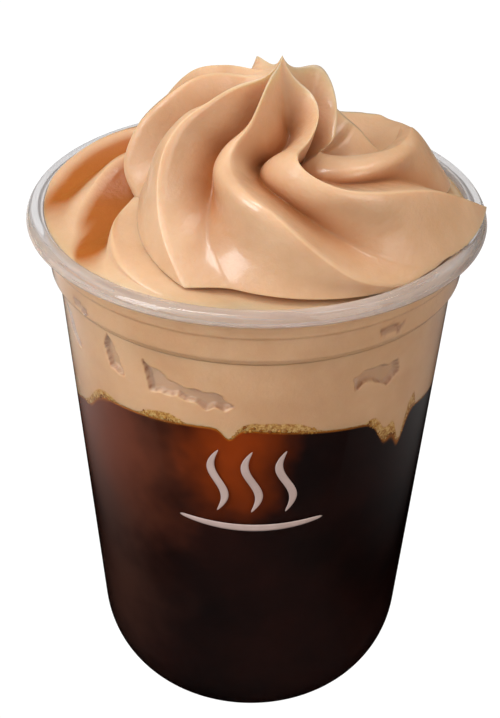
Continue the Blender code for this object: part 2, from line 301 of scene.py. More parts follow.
def lip_profile():
    """The rolled lip, from its inner foot over the top and down to its outer foot."""
    top = CUP_HEIGHT
    bead = 0.6 * MM
    return [
        (NECK_RADIUS - WALL, top - LIP_HEIGHT),
        (LIP_INNER_RADIUS, top - bead),
        (LIP_INNER_RADIUS + bead, top),
        (LIP_OUTER_RADIUS - LIP_LEAN - bead, top),
        (LIP_OUTER_RADIUS - LIP_LEAN, top - 0.3 * MM),
        (LIP_OUTER_RADIUS - 0.2 * MM, top - 1.3 * MM),
        (LIP_OUTER_RADIUS, top - LIP_HEIGHT + bead),
        (LIP_OUTER_RADIUS - bead, top - LIP_HEIGHT),
    ]


clear, tree, shader, output = new_material("clear plastic")
shader.inputs["Base Color"].default_value = (0.93, 0.945, 0.96, 1.0)
shader.inputs["Roughness"].default_value = 0.04
shader.inputs["IOR"].default_value = 1.46
shader.inputs["Transmission Weight"].default_value = 1.0
ripple = noise(tree, 90.0, 2.0, 0.5, (1.0, 1.0, 0.25))
tree.links.new(bump(tree, ripple.outputs["Fac"], 0.12, 0.0003), shader.inputs["Normal"])
through = tree.nodes.new("ShaderNodeBsdfTransparent")
through.inputs["Color"].default_value = (0.93, 0.94, 0.95, 1.0)
light_path = tree.nodes.new("ShaderNodeLightPath")
see_through = mix_shaders(
    tree, light_path.outputs["Is Shadow Ray"], shader.outputs[0], through.outputs[0]
)
milky = tree.nodes.new("ShaderNodeBsdfPrincipled")
streaks = noise(tree, 900.0, 2.0, 0.5, (0.05, 0.05, 1.0))
pale = ramp(tree, streaks.outputs["Fac"], [
    (0.35, (0.44, 0.41, 0.41)),
    (0.65, (0.68, 0.65, 0.65)),
])
tree.links.new(pale, milky.inputs["Base Color"])
milky.inputs["Roughness"].default_value = 0.4
apart = object_parts(tree)
lip_foot = CUP_HEIGHT - LIP_HEIGHT
lip_share = map_range(tree, apart["Z"], lip_foot - 0.3 * MM, lip_foot + 0.1 * MM, 0.0, MILKY_LIP)
with_lip = mix_shaders(tree, lip_share, see_through, milky.outputs[0])
tree.links.new(with_lip, output.inputs["Surface"])

inside = wall_profile(WALL)
inside.reverse()
outside = lip_profile() + wall_profile(0.0)
profile = softened(inside[:-1] + outside, CORNER_ROUNDING, CORNER_STEPS)
cup = turned("clear_cup", profile, CUP_SIDES)
place_piece(cup, "cup", clear)


# Print. A plain mark of three steam lines over a saucer line, in pale ink. Screen printed, so it
# is a thin film that follows the wall's taper.

PRINT_MIDDLE = CUP_HEIGHT - 46.0 * MM
INK_LIFT = 0.02 * MM
INK_THICKNESS = 0.03 * MM
# The mark's own measures are in millimetres from its middle.
STEAM_PLACES = (-7.0, 0.0, 7.0)
STEAM_ENDS = (-5.5, 10.0)
STEAM_SWAY = 1.5
STEAM_HALF_WIDTH = 0.95
SAUCER_HALF_LENGTH = 15.0
SAUCER_LOW = -9.6
SAUCER_RISE = 1.5
SAUCER_HALF_WIDTH = 0.8
LEAST_HALF_WIDTH = 0.02


def outer_radius(height):
    """Radius of the tapering wall's outer face at this height."""
    foot = CUP_HEIGHT - STEP_FOOT_DEPTH
    up = (height - BOWL_TOP_HEIGHT) / (foot - BOWL_TOP_HEIGHT)
    return mix(BOWL_TOP_RADIUS, STEP_FOOT_RADIUS, up)


def steam(place):
    """A wavy upright line: its middle, the way its width runs and half its width, at a share of
    its length."""

    def line(t):
        middle = (place + STEAM_SWAY * math.sin(math.tau * t), mix(*STEAM_ENDS, t))
        half = STEAM_HALF_WIDTH * math.sin(math.pi * t) ** 0.6 + LEAST_HALF_WIDTH
        return middle, (1.0, 0.0), half

    return line


def saucer(t):
    """A flat arc under the steam lines, given in the same way."""
    along = mix(-1.0, 1.0, t)
    middle = (SAUCER_HALF_LENGTH * along, SAUCER_LOW + SAUCER_RISE * along ** 2)
    half = SAUCER_HALF_WIDTH * math.sin(math.pi * t) ** 0.35 + LEAST_HALF_WIDTH
    return middle, (0.0, 1.0), half


form = bmesh.new()
for line in [steam(place) for place in STEAM_PLACES] + [saucer]:
    made = bmesh.ops.create_grid(form, x_segments=4, y_segments=60, size=1.0)
    for vert in made["verts"]:
        middle, over, half = line((vert.co.y + 1.0) / 2.0)
        across = middle[0] + over[0] * half * vert.co.x
        height = PRINT_MIDDLE + (middle[1] + over[1] * half * vert.co.x) * MM
        reach = outer_radius(height) + INK_LIFT
        angle = math.radians(-90.0) + across * MM / reach
        vert.co = (reach * math.cos(angle), reach * math.sin(angle), height)
bmesh.ops.recalc_face_normals(form, faces=form.faces)
print_mark = finished("printed_mark", form)
thickness = print_mark.modifiers.new("ink film", "SOLIDIFY")
thickness.thickness = INK_THICKNESS
thickness.offset = 0.0
ink, tree, shader, _ = new_material("pale ink")
worn = noise(tree, 300.0, 4.0)
colour = ramp(tree, worn.outputs["Fac"], [
    (0.3, (0.56, 0.42, 0.39)),
    (0.7, (0.64, 0.49, 0.46)),
])
tree.links.new(colour, shader.inputs["Base Color"])
shader.inputs["Roughness"].default_value = 0.35
print_mark.data.materials.append(ink)
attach(print_mark, "root")


# Coffee. Dark brown iced coffee that fills the cup up to the foam. The amber and reddish glow of
# light coming through it is painted into its colour. Poured, so it takes the cup's inner form.

COFFEE_SIDES = 360
COFFEE_ROW = 0.5 * MM
STILL_HEIGHT = 30.0 * MM
BORDER_DEPTH = 31.2 * MM
BORDER_WAVE = 0.5 * MM
DRIPS = [
    # azimuth in degrees, half width in degrees, how far the foam hangs down
    (-44.5, 4.5, 5.5 * MM),
    (-37.2, 3.2, 6.8 * MM),
    (-97.0, 2.6, 2.6 * MM),
    (-15.0, 38.0, 5.4 * MM),
    (-168.0, 17.0, 9.5 * MM),
    (-152.0, 5.0, 2.2 * MM),
    (62.0, 16.0, 4.5 * MM),
    (118.0, 22.0, 6.0 * MM),
]


def border_height(azimuth):
    """Height of the line on the wall where the foam meets the coffee."""
    depth = BORDER_DEPTH + BORDER_WAVE * math.sin(math.radians(5.0 * azimuth + 40.0))
    for centre, half_width, drop in DRIPS:
        depth += drop * math.exp(-((turn_apart(azimuth, centre) / half_width) ** 2))
    return CUP_HEIGHT - depth


CONTENT_LINE = softened(wall_profile(WALL - INTO_WALL), CORNER_ROUNDING, CORNER_STEPS)


def inside_radius(height):
    """Radius of the contents at this height, just into the wall."""
    for (upper_radius, upper), (lower_radius, lower) in zip(CONTENT_LINE, CONTENT_LINE[1:]):
        if lower <= height <= upper:
            return mix(lower_radius, upper_radius, (height - lower) / max(upper - lower, 1e-9))
    return CONTENT_LINE[0][0]


# The contents are first turned with a level border here, which place_coffee and place_foam then
# carry to the uneven one.
LEVEL = CUP_HEIGHT - BORDER_DEPTH - 3.0 * MM
LEVEL_RADIUS = inside_radius(LEVEL)
BORDER_SHARES = [n / 12 for n in range(12)] + [0.96, 1.0]


def place_coffee(point):
    """Brings a point of the level coffee to the uneven border, and those under it to the wall."""
    out = math.hypot(point.x, point.y)
    if out < 1e-6 or point.z < STILL_HEIGHT:
        return point, 0.0
    border = border_height(math.degrees(math.atan2(point.y, point.x)))
    if abs(point.z - LEVEL) < 1e-6 and out < 0.999 * LEVEL_RADIUS:
        return Vector((point.x, point.y, mix(LEVEL, border, smooth(out / LEVEL_RADIUS)))), 0.0
    height = mix(STILL_HEIGHT, border, (point.z - STILL_HEIGHT) / (LEVEL - STILL_HEIGHT))
    share = inside_radius(height) / out
    return Vector((point.x * share, point.y * share, height)), 0.0


PATCH_SOFTNESS = 0.9
PAINTED_GLOW_PATCHES = [
    # centre, reach and colour of each patch of painted glow, where light shines through the coffee
    ((-0.034, -0.020, 0.068), (0.034, 0.034, 0.034), (0.150, 0.036, 0.015)),
    ((-0.004, -0.038, 0.074), (0.015, 0.020, 0.022), (0.250, 0.036, 0.003)),
    ((-0.032, -0.020, 0.034), (0.024, 0.024, 0.042), (0.046, 0.018, 0.012)),
    ((0.012, 0.037, 0.066), (0.022, 0.020, 0.024), (0.12, 0.024, 0.004)),
]

coffee_finish, tree, shader, _ = new_material("iced coffee")


def patch(centre, reach):
    """1 inside a soft, clouded patch of painted glow on the coffee and 0 outside it."""
    away = tree.nodes.new("ShaderNodeVectorMath")
    away.operation = "SUBTRACT"
    away.inputs[1].default_value = centre
    tree.links.new(object_place(tree), away.inputs[0])
    scaled = tree.nodes.new("ShaderNodeVectorMath")
    scaled.operation = "DIVIDE"
    scaled.inputs[1].default_value = reach
    tree.links.new(away.outputs[0], scaled.inputs[0])
    length = tree.nodes.new("ShaderNodeVectorMath")
    length.operation = "LENGTH"
    tree.links.new(scaled.outputs[0], length.inputs[0])
    cloud = noise(tree, 60.0, 3.0, 0.6)
    uneven = math_node(tree, "MULTIPLY_ADD", cloud.outputs["Fac"], 0.9, -0.45)
    total = math_node(tree, "ADD", length.outputs["Value"], uneven)
    return map_range(tree, total, 1.0, 1.0 - PATCH_SOFTNESS, kind="SMOOTHSTEP")


cloud = noise(tree, 35.0, 4.0, 0.6)
colour = ramp(tree, cloud.outputs["Fac"], [
    (0.35, (0.0040, 0.0008, 0.0005)),
    (0.70, (0.016, 0.0034, 0.0020)),
])
# Painted light: lighter amber and reddish patches where light shines through the coffee.
for centre, reach, tint in PAINTED_GLOW_PATCHES:
    colour = blend(tree, colour, tint, patch(centre, reach))
colour = blend(tree, colour, (0.34, 0.105, 0.010), attribute(tree, "film"))
tree.links.new(colour, shader.inputs["Base Color"])
shader.inputs["Roughness"].default_value = 0.35
shader.inputs["Specular IOR Level"].default_value = 0.05

wall_below = [point for point in CONTENT_LINE if point[1] < LEVEL]
coffee_profile = [(LEVEL_RADIUS * share, LEVEL) for share in BORDER_SHARES]
coffee_profile += finer([(LEVEL_RADIUS, LEVEL)] + wall_below, COFFEE_ROW)[1:]
coffee = turned("iced_coffee", coffee_profile, COFFEE_SIDES, place_coffee)
place_piece(coffee, "coffee", coffee_finish)

# Where the coffee thins out over the foam it shows amber.

AMBER_FILM = [
    # azimuth, half width in degrees, depth of the film under the border
    (-38.0, 7.0, 1.6 * MM),
    (-146.0, 7.0, 1.0 * MM),
    (-118.0, 8.0, 0.6 * MM),
    (-84.0, 12.0, 0.5 * MM),
    (72.0, 14.0, 1.0 * MM),
    (165.0, 12.0, 1.2 * MM),
]
film = coffee.data.attributes.new("film", "FLOAT", "POINT")
for vert, value in zip(coffee.data.vertices, film.data):
    azimuth = math.degrees(math.atan2(vert.co.y, vert.co.x))
    under = border_height(azimuth) - vert.co.z
    reach = max(
        depth * smooth(1.5 - abs(turn_apart(azimuth, centre)) / half_width)
        for centre, half_width, depth in AMBER_FILM
    )
    value.value = smooth(1.0 - under / (reach + 0.05 * MM))


# Foam layer. Whipped milk and coffee foam, poured in over the coffee; it runs down in tongues
# along the wall, holds air pockets against it and has a bubbly yellow edge.

FOAM_TOP_DEPTH = 3.0 * MM
FOAM_SIDES = 720
FOAM_ROW = 0.35 * MM
FOAM_NECK_ROW = 1.0 * MM
FOAM_TOP = [
    # radius, and how far the foam has climbed there
    (0.0, 0.0),
    (19.0 * MM, 0.0),
    (36.0 * MM, 0.0),
    (40.0 * MM, 0.4 * MM),
    (42.2 * MM, 1.1 * MM),
    (LIP_INNER_RADIUS + INTO_LIP, 2.0 * MM),
]
AIR_POCKETS = [
    # corners of each pocket, as azimuth and depth below the rim in millimetres, and its dent
    (((-124, 17.6), (-112, 21.6), (-99, 22.6), (-95, 25.8), (-104, 26.2), (-113, 24.4),
        (-122, 24.8)), 1.5),
    (((-137, 14.9), (-133, 19.0), (-131, 23.6), (-137, 23.4), (-139, 18.0)), 1.3),
    (((-60, 20.4), (-53, 19.6), (-43, 20.4), (-42, 23.0), (-47, 25.4), (-53, 22.8),
        (-59, 23.6)), 1.4),
    (((-150, 9.6), (-143, 10.4), (-142, 12.6), (-149, 12.2)), 0.7),
    (((-55, 9.0), (-45, 9.4), (-47, 11.6), (-53, 11.4)), 0.7),
    (((-163, 16.0), (-158, 18.0), (-152, 24.5), (-159, 23.0)), 1.0),
    (((12, 18.0), (22, 17.0), (31, 20.0), (26, 24.0), (18, 22.0)), 1.4),
    (((84, 21.0), (96, 20.0), (106, 23.0), (98, 27.0), (88, 25.0)), 1.4),
    (((142, 16.0), (152, 15.5), (158, 20.0), (150, 22.5), (143, 20.0)), 1.3),
    (((52, 9.2), (62, 9.0), (60, 11.8), (53, 11.4)), 0.7),
]
POCKET_EDGE = 0.55 * MM
POCKET_FULL_DENT = 0.8 * MM
POCKET_SPAN = 20.0
# Millimetres round the wall for each degree of azimuth.
MM_PER_DEGREE = 0.70


def pocket_dent(azimuth, depth):
    """How far the foam stands back from the wall in its air pockets, which have crisp edges."""
    dent = 0.0
    for corners, deep in AIR_POCKETS:
        middle = sum(corner[0] for corner in corners) / len(corners)
        if abs(turn_apart(azimuth, middle)) > POCKET_SPAN:
            continue
        wobble = 0.25 * math.sin(1.1 * azimuth) + 0.2 * math.sin(2300.0 * depth)
        x = turn_apart(azimuth, middle) * MM_PER_DEGREE
        y = depth / MM + wobble
        outline = [(turn_apart(a, middle) * MM_PER_DEGREE, d) for a, d in corners]
        inside = False
        nearest = 1e9
        for (ax, ay), (bx, by) in zip(outline, outline[1:] + outline[:1]):
            if (ay > y) != (by > y) and x < (bx - ax) * (y - ay) / (by - ay) + ax:
                inside = not inside
            along = (x - ax) * (bx - ax) + (y - ay) * (by - ay)
            along = min(max(along / math.dist((ax, ay), (bx, by)) ** 2, 0.0), 1.0)
            nearest = min(nearest, math.hypot(x - mix(ax, bx, along), y - mix(ay, by, along)))
        if inside:
            dent = max(dent, deep * smooth(nearest * MM / POCKET_EDGE))
    return dent * MM


def pocket_painted_shade(share):
    """Painted shade: darkest on the edge of a pocket, where its rim shades it, and little darker than
    the foam inside it.
    """
    return 0.3 * share + 2.8 * share * (1.0 - share)


SIDE_FOOT = CUP_HEIGHT - STEP_FOOT_DEPTH


def place_foam(point):
    """Brings a point of the level foam to the border and the wall, and into the air pockets, with the
    painted shade of their edges.
    """
    out = math.hypot(point.x, point.y)
    if out < 1e-6:
        return point, 0.0
    azimuth = math.degrees(math.atan2(point.y, point.x))
    border = border_height(azimuth) + 0.02 * MM
    height = point.z
    reach = out
    if point.z <= SIDE_FOOT - 1e-6:
        if abs(point.z - LEVEL) < 1e-6 and out < 0.999 * LEVEL_RADIUS:
            return Vector((point.x, point.y, mix(LEVEL, border, smooth(out / LEVEL_RADIUS)))), 0.0
        height = mix(border, SIDE_FOOT, (point.z - LEVEL) / (SIDE_FOOT - LEVEL))
        reach = inside_radius(height)
    dent = 0.0
    if out > 0.9 * LEVEL_RADIUS and border + 0.2 * MM < height < CUP_HEIGHT - 8.0 * MM:
        dent = pocket_dent(azimuth, CUP_HEIGHT - height)
    share = (reach - dent) / out
    # Painted shade at the edges of the air pockets, carried in the hollow layer.
    tone = pocket_painted_shade(min(dent / POCKET_FULL_DENT, 1.0))
    return Vector((point.x * share, point.y * share, height)), tone


def foam_material(name, low, high, deep, coat, crema=False):
    """Soft satin coffee foam with fine bubbles; deep is the colour of the painted shade it takes in
    hollows, coat its wet sheen, and crema adds the yellow froth of its lower edge."""
    made, tree, shader, _ = new_material(name)
    tone = noise(tree, 60.0, 5.0, 0.6)
    colour = ramp(tree, tone.outputs["Fac"], [(0.35, low), (0.65, high)])
    # Painted shade: the colour darkens to deep where the hollow layer says a point lies in a flute or
    # at the edge of an air pocket.
    colour = blend(tree, colour, deep, attribute(tree, "hollow"))
    if crema:
        froth = noise(tree, 1300.0, 3.0, 0.7)
        gold = ramp(tree, froth.outputs["Fac"], [
            (0.38, (0.30, 0.11, 0.012)),
            (0.5, (0.50, 0.26, 0.055)),
            (0.62, (0.62, 0.40, 0.15)),
        ])
        patchy = noise(tree, 150.0, 3.0, 0.6)
        spread = math_node(tree, "ADD", attribute(tree, "crema"), patchy.outputs["Fac"])
        colour = blend(tree, colour, gold, map_range(tree, spread, 0.95, 1.15))
    tree.links.new(colour, shader.inputs["Base Color"])
    shader.inputs["Roughness"].default_value = 0.42
    wet = noise(tree, 45.0, 6.0, 0.7, (1.0, 1.0, 0.4))
    sheen = ramp(tree, wet.outputs["Fac"], [(0.44, (0.0, 0.0, 0.0)), (0.56, (coat, coat, coat))])
    tree.links.new(sheen, shader.inputs["Coat Weight"])
    shader.inputs["Coat Roughness"].default_value = 0.13
    shader.inputs["Subsurface Weight"].default_value = 0.45
    shader.inputs["Subsurface Radius"].default_value = (1.0, 0.55, 0.3)
    shader.inputs["Subsurface Scale"].default_value = 0.004
    waves = noise(tree, 140.0, 3.0, 0.5)
    coarse = bump(tree, waves.outputs["Fac"], 0.25, 0.8 * MM)
    pores = noise(tree, 900.0, 3.0, 0.6)
    skin = bump(tree, pores.outputs["Fac"], 0.35, 0.3 * MM, coarse)
    tree.links.new(skin, shader.inputs["Normal"])
    return made


# Its deep colour is the painted shade at the edges of the air pockets.
layer_finish = foam_material(
    "foam behind the wall",
    low=(0.57, 0.335, 0.175), high=(0.65, 0.41, 0.235), deep=(0.32, 0.125, 0.05), coat=0.0,
    crema=True,
)

# Its section: a level top that climbs where it meets the wall, the wall, and the border below.

foam_side = [point for point in CONTENT_LINE if point[1] >= SIDE_FOOT]
foam_top = CUP_HEIGHT - FOAM_TOP_DEPTH
foam_profile = [(radius, foam_top + rise) for radius, rise in FOAM_TOP] + foam_side[:1]
foam_profile += finer(foam_side[1:] + [(LEVEL_RADIUS, SIDE_FOOT - 0.01 * MM)], FOAM_NECK_ROW)[:-1]
foam_profile += finer([(LEVEL_RADIUS, SIDE_FOOT - 0.02 * MM), (LEVEL_RADIUS, LEVEL)], FOAM_ROW)
foam_profile += [(LEVEL_RADIUS * share, LEVEL) for share in reversed(BORDER_SHARES[:-1])]
foam_layer = turned("foam_layer_piece", foam_profile, FOAM_SIDES, place_foam)
place_piece(foam_layer, "foam_layer", layer_finish)

CREMA = [
    # azimuth, half width in degrees and height of the yellow froth over the border
    (-146.0, 9.0, 2.4 * MM),
    (-119.0, 7.0, 2.2 * MM),
    (-83.0, 12.0, 2.6 * MM),
    (-45.0, 7.0, 4.0 * MM),
    (-33.0, 3.0, 5.0 * MM),
    (20.0, 10.0, 2.2 * MM),
    (75.0, 14.0, 2.6 * MM),
    (130.0, 9.0, 2.2 * MM),
    (170.0, 8.0, 2.6 * MM),
]


def crema_height(azimuth):
    """How far the froth reaches over the border here."""
    return max(
        height * smooth(1.4 - abs(turn_apart(azimuth, centre)) / half_width)
        for centre, half_width, height in CREMA
    )


crema = foam_layer.data.attributes.new("crema", "FLOAT", "POINT")
for vert, value in zip(foam_layer.data.vertices, crema.data):
    azimuth = math.degrees(math.atan2(vert.co.y, vert.co.x))
    over = vert.co.z - border_height(azimuth)
    value.value = smooth(1.3 - over / (crema_height(azimuth) + 0.15 * MM))


# Froth bubbles. Small amber coffee bubbles that gather in clusters along the border of the foam
# and the coffee, held against the wall.

BUBBLE_SIZES = (0.12, 0.16, 0.2, 0.28, 0.42)
BUBBLES_PER_DEGREE = 5.0

bubbles = random.Random(7)
form = bmesh.new()
for centre, half_width, height in CREMA:
    for _ in range(round(BUBBLES_PER_DEGREE * half_width)):
        azimuth = centre + bubbles.uniform(-1.1, 1.1) * half_width
        size = bubbles.choice(BUBBLE_SIZES) * MM
        level = border_height(azimuth) + bubbles.triangular(-0.3, 1.2, -0.05) * MM
        reach = inside_radius(level) - 0.35 * size
        angle = math.radians(azimuth)
        spot = Vector((reach * math.cos(angle), reach * math.sin(angle), level))
        bmesh.ops.create_icosphere(
            form, subdivisions=2, radius=size, matrix=Matrix.Translation(spot)
        )
froth = finished("froth_bubbles", form)
amber_film, tree, shader, _ = new_material("amber bubble film")
film = noise(tree, 500.0, 2.0)
colour = ramp(tree, film.outputs["Fac"], [(0.4, (0.20, 0.06, 0.006)), (0.62, (0.50, 0.25, 0.05))])
tree.links.new(colour, shader.inputs["Base Color"])
shader.inputs["Roughness"].default_value = 0.15
froth.data.materials.append(amber_film)
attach(froth, "root")


# Piped top. The same foam, spun out of a star nozzle into a mound of twisting ridges that holds
# its shape and sits on the lower turn.

# A ridge runs out from the peak through six stations, each an azimuth in degrees, a radius
# and a height above the lip, both in millimetres. The flute after each ridge has how far down
# it starts, its depth in millimetres, where its crease lies across it near the peak and lower
# down (0 for a round one), how steeply it rises on, where it ends and the share of its depth it
# loses there.
TOP_AXIS = (4.5, -2.0)
TOP_PEAK = 29.3
TOP_RIDGES = [
    ((-203.7, 7.8, 28.6), (-189.4, 14.7, 29.4), (-179.4, 20.7, 27.4),
     (-179.1, 28.4, 19.6), (-175.8, 31.7, 11.2), (-172, 30.2, 5.6)),
    ((-148.1, 9.3, 30.6), (-147.5, 17.7, 28.4), (-146.9, 24.6, 24.7),
     (-142.9, 29.6, 19.3), (-135.7, 33.3, 10.9), (-118, 39, 0.2)),
    ((-114.2, 5.6, 31.8), (-114.2, 14.5, 26.4), (-118.7, 20.5, 20.5),
     (-92.7, 32.7, 16.1), (-66.5, 39.1, 3.5), (-48, 39, -1)),
    ((-20.3, 6, 27.5), (-64.7, 14.2, 23), (-81, 21.3, 22.2),
     (-65.5, 27.8, 18.1), (-26.6, 34.1, 12.9), (0.1, 42.6, 1.7)),
    ((33.5, 9.6, 29.9), (-16.3, 11.5, 19.2), (-39.2, 10.7, 16.7),
     (-10.5, 22, 16.3), (25.5, 30.3, 13.2), (28.3, 37.4, 1.5)),
    ((50, 9.5, 25), (33, 15.5, 17.8), (20, 17, 16.3),
     (12, 22, 11.5), (33, 30, 12.6), (45, 36.9, 1.3)),
    ((75.8, 8.5, 28), (66.6, 13.5, 21.9), (56.8, 19.7, 15.4),
     (47.6, 25.8, 13.5), (43.8, 30.2, 11.5), (62, 36.5, 1)),
    ((121, 9.0, 30.8), (104.5, 16.2, 26.4), (100.3, 22.1, 22.2),
     (100.5, 27.6, 17.1), (104, 32.3, 10), (110, 35.5, 3)),
    ((140, 9.5, 29.1), (137.5, 16.1, 27.5), (141.2, 23, 24.7),
     (143.1, 28.7, 18.5), (147, 32.3, 10.8), (152, 31.5, 7)),
]
TOP_FLUTES = [
    (0.24, 8.0, 0.72, 0.20, 1.7, 1.0, 0.75),
    (0.18, 12.0, 0.72, 0.20, 1.7, 1.0, 0.75),
    (0.18, 11.0, 0.72, 0.20, 1.7, 1.0, 0.92),
    (0.18, 10.0, 0.72, 0.20, 1.7, 1.0, 0.25),
    (0.24, 8.0, 0.22, 0.22, 1.0, 0.86, 1.0),
    (0.24, 12.0, 0.40, 0.40, 1.3, 0.85, 1.0),
    (0.24, 8.0, 0.72, 0.20, 1.7, 1.0, 0.75),
    (0.55, 6.0, 0.72, 0.20, 1.7, 1.0, 0.75),
    (0.55, 6.0, 0.72, 0.20, 1.7, 1.0, 0.75),
]
# Shares of the way from the peak to the foot: over which a flute ends, by which its crease has
# its lower place, where and over which it turns from round to creased, and from which the foot
# spreads.
FLUTE_RUN_OUT = 0.3
CREASE_SETTLED = 0.6
FOLD_START = 0.1
FOLD_WAY = 0.35
SPREAD_START = 0.84
# Shares of the peak's height: that of the point which the flutes are pressed in towards, and how
# far the pointed tip rises over the ridges. The tip fades out over its radius in millimetres.
CORE_SHARE = 0.2
TIP_RISE = 0.19
TIP_RADIUS = 2.4
# The underside reaches its full depth over this share of the way in from the foot.
UNDERSIDE_REACH = 0.35
# The piping may spread out over the lip from this many millimetres above it.
OVER_LIP = 0.5


def station_curve(stations, share):
    """A smooth line through the stations, at this share of its length."""
    last = len(stations) - 1
    span = min(int(share * last), last - 1)
    local = share * last - span
    before = stations[max(span - 1, 0)]
    start = stations[span]
    end = stations[span + 1]
    after = stations[min(span + 2, last)]
    found = []
    for p0, p1, p2, p3 in zip(before, start, end, after):
        found.append(0.5 * (
            2.0 * p1 + (p2 - p0) * local
            + (2.0 * p0 - 5.0 * p1 + 4.0 * p2 - p3) * local ** 2
            + (3.0 * p1 - p0 - 3.0 * p2 + p3) * local ** 3
        ))
    return found


def crest_row(ridges, peak, down):
    """Each ridge's crest at this share of the way from the peak to its foot, and the first once
    more a turn on: azimuth, radius and height."""
    row = []
    for stations in ridges + ridges[:1]:
        line = [(stations[0][0], 0.0, peak)] + list(stations)
        azimuth, radius, height = station_curve(line, down)
        row.append((azimuth, max(radius, 0.0), height))
    azimuth, radius, height = row.pop()
    row.append((azimuth + 360.0, radius, height))
    return row


def flute_shape(across, down, crease_high, crease_low, steepness):
    """Depth of the flute, 0 on its ridges and 1 at the deepest: a round hollow near the peak,
    and lower down a steep face that drops to a crease and a full one that rises from it."""
    hollow = math.sin(math.pi * across)
    if not crease_low:
        return hollow
    crease = mix(crease_high, crease_low, smooth(down / CREASE_SETTLED))
    if across < crease:
        folded = math.sin(0.5 * math.pi * across / crease)
    else:
        folded = (1.0 - (across - crease) / (1.0 - crease)) ** steepness
    return mix(hollow, folded, smooth((down - FOLD_START) / FOLD_WAY))


def flute_point(crests, peak, flutes, around, down):
    """A point of the piped surface and how deep it lies in a flute: around counts ridges, down
    is 0 at the peak and 1 at the foot."""
    which = math.floor(around)
    across = around - which
    azimuth, radius, height = (mix(a, b, across) for a, b in zip(crests[which], crests[which + 1]))
    start, depth, crease_high, crease_low, steepness, end, loss = flutes[which]
    depth *= 1.0 - loss * smooth(1.0 - (end - down) / FLUTE_RUN_OUT)
    depth *= smooth(down / start)
    depth *= flute_shape(across, down, crease_high, crease_low, steepness)
    core = height - CORE_SHARE * peak
    length = math.hypot(radius, core)
    tip = TIP_RISE * peak * math.exp(-radius / TIP_RADIUS)
    radius -= depth * radius / length
    height -= depth * core / length
    return azimuth, radius, height + tip, depth


def keep_off_lip(x, y, height):
    """Draws a point in where it would touch the lip."""
    out = math.hypot(x, y)
    limit = LIP_OUTER_RADIUS - 0.1 * MM
    if height < OVER_LIP:
        limit = LIP_INNER_RADIUS + INTO_LIP
    if out > limit / MM:
        x *= limit / MM / out
        y *= limit / MM / out
    return x, y


def make_mound(
    name, axis, peak, ridges, flutes, flute_sides, rows_down, rows_under, underside, deep, foot=0.0,
):
    """A piped mound: the upper rows of a wrapped grid become the fluted face, the rest its
    underside. Its last rows spread out to the foot radius, if there is one. A flute has the full
    painted shade of a hollow where it is deep millimetres deep."""
    rows = rows_down + rows_under
    crests = [crest_row(ridges, peak, min(row / rows_down, 1.0)) for row in range(rows + 1)]

    def on_mound(column, row):
        down = min(row / rows_down, 1.0)
        azimuth, radius, height, depth = flute_point(
            crests[row], peak, flutes, column / flute_sides, down
        )
        spread = smooth((down - SPREAD_START) / (1.0 - SPREAD_START))
        radius = mix(radius, max(radius, foot), spread)
        if row > rows_down:
            share = (row - rows_down) / rows_under
            radius *= 1.0 - share
            height = mix(height, underside, smooth(share / UNDERSIDE_REACH))
        x = axis[0] + radius * math.cos(math.radians(azimuth))
        y = axis[1] + radius * math.sin(math.radians(azimuth))
        x, y = keep_off_lip(x, y, height)
        # Painted shade: how far into a flute the point lies sets how dark its colour is painted.
        hollow = min(max(depth / deep, 0.0), 1.0) ** 1.5
        return Vector((x * MM, y * MM, CUP_HEIGHT + height * MM)), hollow

    return finished(name, wrapped(len(ridges) * flute_sides, rows, on_mound))


# Its deep colour is the painted shade in the flutes.
piped_finish = foam_material(
    "piped foam",
    low=(0.63, 0.38, 0.215), high=(0.70, 0.46, 0.285), deep=(0.40, 0.115, 0.016), coat=0.5,
)
piped_top = make_mound(
    "piped_top", TOP_AXIS, TOP_PEAK, TOP_RIDGES, TOP_FLUTES,
    flute_sides=42, rows_down=200, rows_under=20, underside=-1.2, deep=12.0,
)
place_piece(piped_top, "foam_swirl", piped_finish)


# Lower turn. The first, wider turn of the piping, which spreads over the lip's inner edge.

LOWER_AXIS = (0.0, 0.0)
LOWER_PEAK = 12.0
LOWER_RIDGES = [
    ((139.5, 12.6, 12), (145.2, 22.7, 11.8), (151.9, 30.4, 10),
     (158, 37.1, 6.9), (167, 42.3, 2.9), (173, 43.6, 0.1)),
    ((159.3, 12.6, 11.3), (166, 22.8, 9.3), (175.5, 29.8, 8.1),
     (188, 35.6, 3.2), (203, 40, 1.0), (214, 43.2, -0.6)),
    ((184.3, 12.6, 9.6), (191.3, 22.7, 6.2), (202.7, 28.9, 4.8),
     (212, 34.0, 4.4), (220.5, 39, 2.0), (229, 43.2, -0.4)),
    ((221.2, 12.6, 6), (231, 22.1, 2.8), (242, 28.8, 1),
     (252.4, 34.1, -0.4), (264.7, 38.9, -1.7), (278, 42.9, -2.2)),
    ((274.2, 12.6, 4.2), (283.3, 22.1, 1.4), (294.1, 28.8, 0.2),
     (304, 34.1, -0.8), (314.1, 38.9, -1.6), (324, 42.9, -2.2)),
    ((329.3, 12.6, 4.2), (337.6, 22.1, 1.7), (348.1, 28.8, 1),
     (357.5, 34.1, 0.2), (365.8, 38.9, -0.6), (374, 42.9, -1.6)),
    ((381.4, 12.6, 6.8), (388.2, 22, 4.5), (397.4, 29.2, 3.2),
     (406.7, 35.2, 1.9), (416, 39.8, 0.3), (425, 42.9, -1.3)),
    ((439.4, 12.6, 9.4), (446.3, 22.7, 8.4), (454.9, 30.3, 6.6),
     (463.6, 36.3, 3.9), (473, 40.7, 1.1), (482, 43, -0.8)),
]
